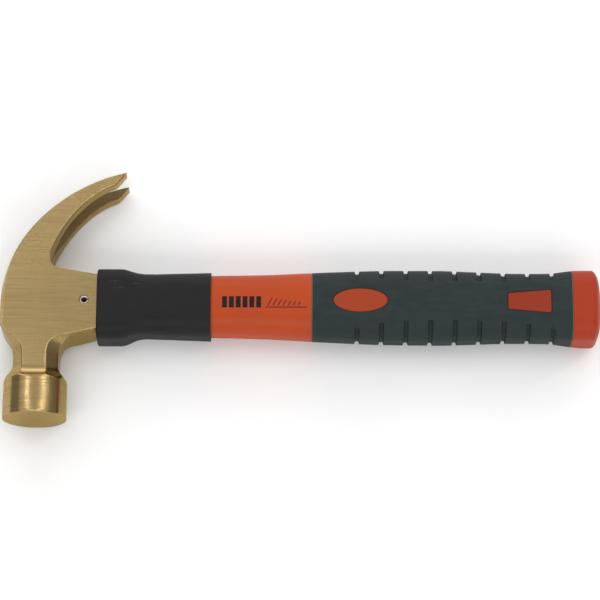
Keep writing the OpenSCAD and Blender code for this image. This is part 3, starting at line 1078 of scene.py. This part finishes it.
black = Finish("collar_rubber_black", IOR=1.5, Specular_IOR_Level=0.25)
stipple = black.noise(3.2, detail=3, rough=0.6)
skin_cloud = black.noise(0.12, detail=4)
scuffs = black.most(
    black.streak(39.8, 9.4, 4, 7.0, 0.9),
    black.streak(51.5, 8.4, 3, 6.0, 0.8),
    black.streak(42.6, 6.0, 8, 8.0, 0.9),
)
scuffs = black.times(scuffs, black.soft(black.noise(1.6, (0.3, 1, 1), detail=3), 0.38, 0.62))
lint = black.soft(black.noise(2.6, detail=2), 0.74, 0.8, 0.0, 0.15)
rub = black.soft(black.noise(0.5, (0.25, 1, 1), detail=5, rough=0.7), 0.56, 0.76, 0.0, 0.4)
black.paint(
    black.soft(skin_cloud, 0.35, 0.7), rgb(15, 15, 16), rgb(22, 22, 24),
    (rub, rgb(30, 30, 32)),
    (black.most(black.times(scuffs, 0.16), lint), rgb(120, 120, 122)),
)
black.feed("Roughness", black.plus(black.soft(skin_cloud, 0.3, 0.7, 0.52, 0.62), black.times(scuffs, 0.12)))
black.relief((stipple, 0.03), (parting_line(black), 0.05))
black.onto(collar)

PADS_FROM, PADS_SPLIT, PADS_TO = 149.0, 215.0, 272.0      # where ovals, wedges and butt change shade
orange = Finish("jacket_plastic_orange", IOR=1.5, Specular_IOR_Level=0.25)
peel = orange.noise(1.6, detail=2)
fine_peel = orange.noise(7.0, detail=2)
flow = orange.noise(0.07, (0.35, 1, 1), detail=4)
grime = orange.soft(orange.noise(0.8, (0.4, 1, 1), detail=5, rough=0.7), 0.56, 0.82, 0.0, 0.35)
# The pads and the butt are painted darker than the front.
on_pads = orange.times(
    orange.soft(orange.x, PADS_FROM, PADS_FROM + 0.6),
    orange.soft(orange.x, PADS_TO, PADS_TO - 0.6),
)
orange.paint(
    orange.soft(flow, 0.3, 0.7), rgb(170, 60, 14), rgb(178, 65, 16),
    (on_pads, rgb(154, 55, 16)),
    (orange.times(on_pads, orange.soft(orange.x, PADS_SPLIT, PADS_SPLIT + 1)), rgb(141, 42, 12)),
    (orange.soft(orange.x, PADS_TO, PADS_TO + 0.6), rgb(161, 49, 12)),
    (grime, rgb(122, 46, 20)),
)
orange.feed("Roughness", orange.plus(orange.soft(peel, 0.3, 0.7, 0.44, 0.52), orange.times(grime, 0.15)))
orange.relief((peel, 0.02), (fine_peel, 0.008), (parting_line(orange), 0.05))
orange.onto(jacket)

rubber = Finish("grip_rubber_green_grey", IOR=1.5, Specular_IOR_Level=0.25)
stipple = rubber.noise(2.8, detail=3, rough=0.6)
skin_cloud = rubber.noise(0.1, (0.5, 1, 1), detail=4)
same_groove = rubber.sum("WRAP", rubber.x, GROOVE_FIRST + GROOVE_PITCH / 2, GROOVE_FIRST - GROOVE_PITCH / 2)
# The grooves are painted darker.
in_groove = rubber.times(
    rubber.soft(rubber.size(rubber.less(same_groove, GROOVE_FIRST)), 0.85, 0.6),
    rubber.soft(rubber.size(rubber.y), 10.8, 11.4),
    rubber.soft(rubber.x, 268.0, 267.0),
    rubber.soft(rubber.x, GROOVE_FIRST - 4, GROOVE_FIRST - 3),
)
palm = rubber.times(
    rubber.soft(rubber.noise(0.35, (0.3, 1, 1), detail=5, rough=0.7), 0.45, 0.7),
    rubber.soft(rubber.size(rubber.y), 15.0, 9.0),
)
lint = rubber.soft(rubber.noise(2.3, detail=2), 0.75, 0.8, 0.0, 0.15)
# Painted highlight: a pale line on the grip's rounded lips at both ends.
lip_highlight = rubber.most(
    rubber.soft(rubber.x, GRIP_START + 0.5, GRIP_START + 0.25),
    rubber.soft(rubber.x, BUTT_START - 0.5, BUTT_START - 0.25),
)
rubber.paint(
    rubber.soft(skin_cloud, 0.3, 0.7), rgb(29, 41, 40), rgb(35, 48, 46),
    (rubber.times(palm, 0.35), rgb(43, 55, 53)),
    (rubber.times(in_groove, 0.45), rgb(24, 33, 32)),
    (lint, rgb(130, 138, 134)),
    (rubber.times(lip_highlight, 0.4), rgb(150, 142, 134)),
)
rubber.feed("Roughness", rubber.less(rubber.soft(skin_cloud, 0.3, 0.7, 0.6, 0.7), rubber.times(palm, 0.1)))
rubber.relief((stipple, 0.035), (parting_line(rubber), 0.06))
rubber.onto(grip)

# %% [markdown]
# Four small finishes are left. The pin is dull spring steel. The resin is amber with a few bubbles. The
# core shows glass threads along its sides and their cut ends as dots. The ink is matt and slightly thin in
# places, so some orange comes through.

# %% Pin, resin, core and ink
steel = Finish("pin_spring_steel", Metallic=1.0)
scale = steel.noise(1.8, detail=4, rough=0.7)
drawn = steel.noise(5.0, (1, 1, 0.1), detail=3)
steel.paint(
    steel.soft(scale, 0.35, 0.7), rgb(225, 221, 214), rgb(178, 172, 164),
    (steel.soft(scale, 0.68, 0.82, 0.0, 0.5), rgb(96, 62, 40)),
)
steel.feed("Roughness", steel.soft(scale, 0.3, 0.75, 0.3, 0.55))
steel.relief((drawn, 0.01), (scale, 0.02))
steel.onto(pin)

amber = Finish("eye_resin_amber", IOR=1.55, Coat_Weight=0.4)
bubbles = amber.soft(amber.noise(1.5, detail=0), 0.3, 0.24)
depth_cloud = amber.noise(0.25, detail=4)
amber.paint(
    amber.soft(depth_cloud, 0.3, 0.7), rgb(138, 104, 54), rgb(172, 134, 76),
    (amber.times(bubbles, 0.6), rgb(206, 180, 128)),
)
amber.feed("Roughness", amber.soft(depth_cloud, 0.3, 0.7, 0.18, 0.34))
amber.relief((amber.noise(0.6, detail=2), 0.12), (bubbles, -0.08))
amber.onto(resin)

glass = Finish("core_fibreglass_pale", IOR=1.52)
threads = glass.noise(4.0, (0.015, 1, 1), detail=4, rough=0.7)
resin_cloud = glass.noise(0.15, (0.3, 1, 1), detail=3)
glass.paint(
    glass.soft(threads, 0.35, 0.65), rgb(176, 170, 128), rgb(214, 210, 176),
    (glass.soft(resin_cloud, 0.5, 0.75, 0.0, 0.4), rgb(160, 146, 96)),
)
glass.feed("Roughness", glass.soft(threads, 0.3, 0.7, 0.42, 0.6))
glass.relief((threads, 0.04))
glass.onto(core)

print_ink = Finish("jacket_ink_black", IOR=1.5, Specular_IOR_Level=0.2)
thin = print_ink.soft(print_ink.noise(2.2, detail=4, rough=0.7), 0.62, 0.8, 0.0, 0.35)
print_ink.paint(thin, rgb(20, 15, 14), rgb(104, 42, 22))
print_ink.feed("Roughness", print_ink.soft(print_ink.noise(3.0), 0.3, 0.7, 0.42, 0.56))
print_ink.relief((print_ink.noise(6.0), 0.01))
print_ink.onto(ink)

# %% [markdown]
# A polished round thing shows the room. Across the poll, the room is read as an arc from one side over the
# top to the other: two bright strips 33 degrees off the vertical, something dimmer between them, and dark
# near the horizon. So two long strip lights hang over the hammer's length, with a wide, weak softbox
# between them. One more softbox behind the claw and one in front light the rubber and the brushed cheeks.

# %% Studio
FLOOR_HALF = 6.0
world = bpy.data.worlds.new("studio")
bpy.context.scene.world = world
world.use_nodes = True
world.node_tree.nodes["Background"].inputs["Color"].default_value = (1.0, 1.0, 1.0, 1.0)
world.node_tree.nodes["Background"].inputs["Strength"].default_value = 0.33


def softbox(name, wide, deep, glow, way, far):
    """Rectangular lamp that looks at the hammer from direction way at distance far.

    glow is its brightness as seen, where 1 is the white of the picture: power = glow pi wide deep.
    """
    lamp = bpy.data.lights.new(name, "AREA")
    lamp.shape = "RECTANGLE"
    lamp.size, lamp.size_y = wide, deep
    lamp.energy = glow * math.pi * wide * deep
    box = put(name, lamp)
    way = Vector(way).normalized()
    box.location = way * far
    box.rotation_euler = way.to_track_quat("Z", "Y").to_euler()
    print(name, "gives", round(lamp.energy, 2), "watts")


lean = math.radians(33)
softbox("left_strip", 0.09, 2.6, 4.4, (-math.sin(lean), 0.30, math.cos(lean)), 1.6)
softbox("right_strip", 0.09, 2.6, 5.6, (math.sin(lean), 0.30, math.cos(lean)), 1.6)
softbox("overhead", 5.2, 2.4, 0.44, (0, 0.25, 1), 2.1)
softbox("behind_claw", 3.4, 1.3, 1.7, (0, 1.0, 0.5), 2.1)
softbox("in_front", 3.6, 1.3, 2.1, (0, -1.0, 0.85), 2.1)

plate = bpy.data.meshes.new("floor")
floor_corners = [(FLOOR_HALF * sx, FLOOR_HALF * sy, 0) for sx, sy in ((-1, -1), (1, -1), (1, 1), (-1, 1))]
plate.from_pydata(floor_corners, [], [(0, 1, 2, 3)])
floor = put("floor", plate)
card = Finish("floor_card", IOR=1.45)
mottle = card.noise(0.02, detail=4)
card.paint(card.soft(mottle, 0.3, 0.7), rgb(249, 249, 249), rgb(252, 252, 252))
card.feed("Roughness", card.soft(card.noise(0.05), 0.3, 0.7, 0.75, 0.85))
card.onto(floor)
bpy.context.scene.view_settings.view_transform = "Standard"
bpy.context.scene.view_settings.look = "None"
